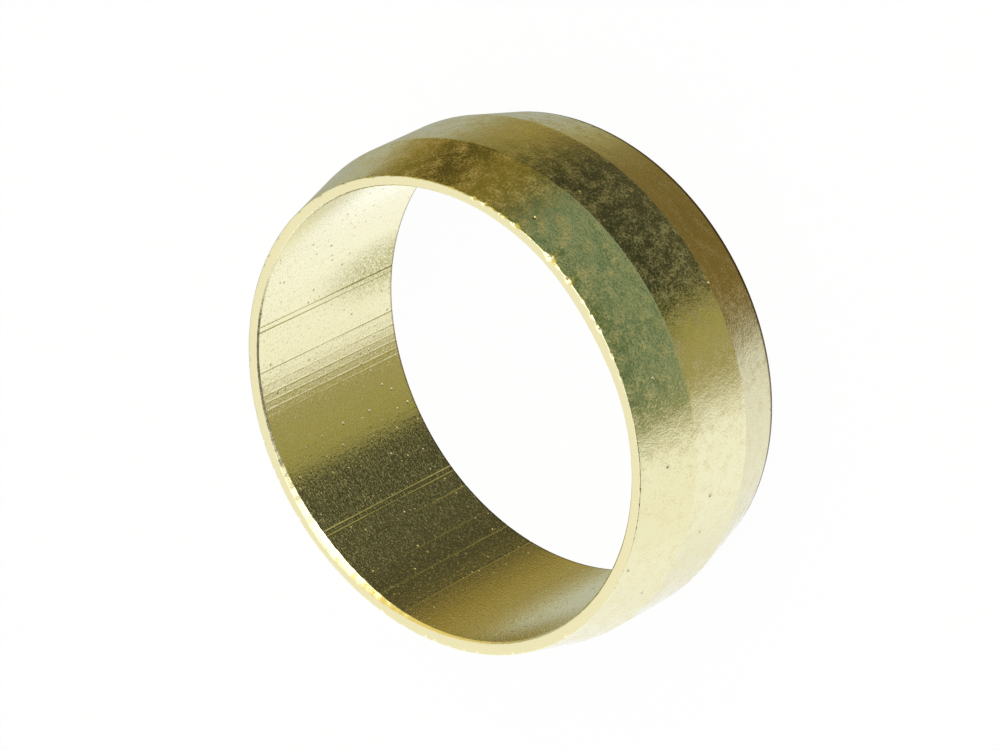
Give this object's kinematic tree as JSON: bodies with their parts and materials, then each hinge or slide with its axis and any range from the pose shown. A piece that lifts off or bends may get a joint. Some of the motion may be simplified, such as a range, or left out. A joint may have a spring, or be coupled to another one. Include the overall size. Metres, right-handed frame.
{
  "type": "compression olive",
  "caption": "Short brass sealing ring with a plain bore and an outside tapered towards each end, squeezed onto a tube inside a compression fitting.",
  "frame": {"origin": "centre of the lower end rim, on the bore axis", "axes": "+Z along the bore axis, upwards; the ring stands on its lower end rim and is round about Z"},
  "size_m": [0.0249, 0.0248, 0.0099],
  "materials": {
    "brass": "turned outside with faint tool rings, drawn bore with fine lengthwise lines"
  },
  "bodies": {
    "root": {"olive": "brass"}
  },
  "joints": []
}
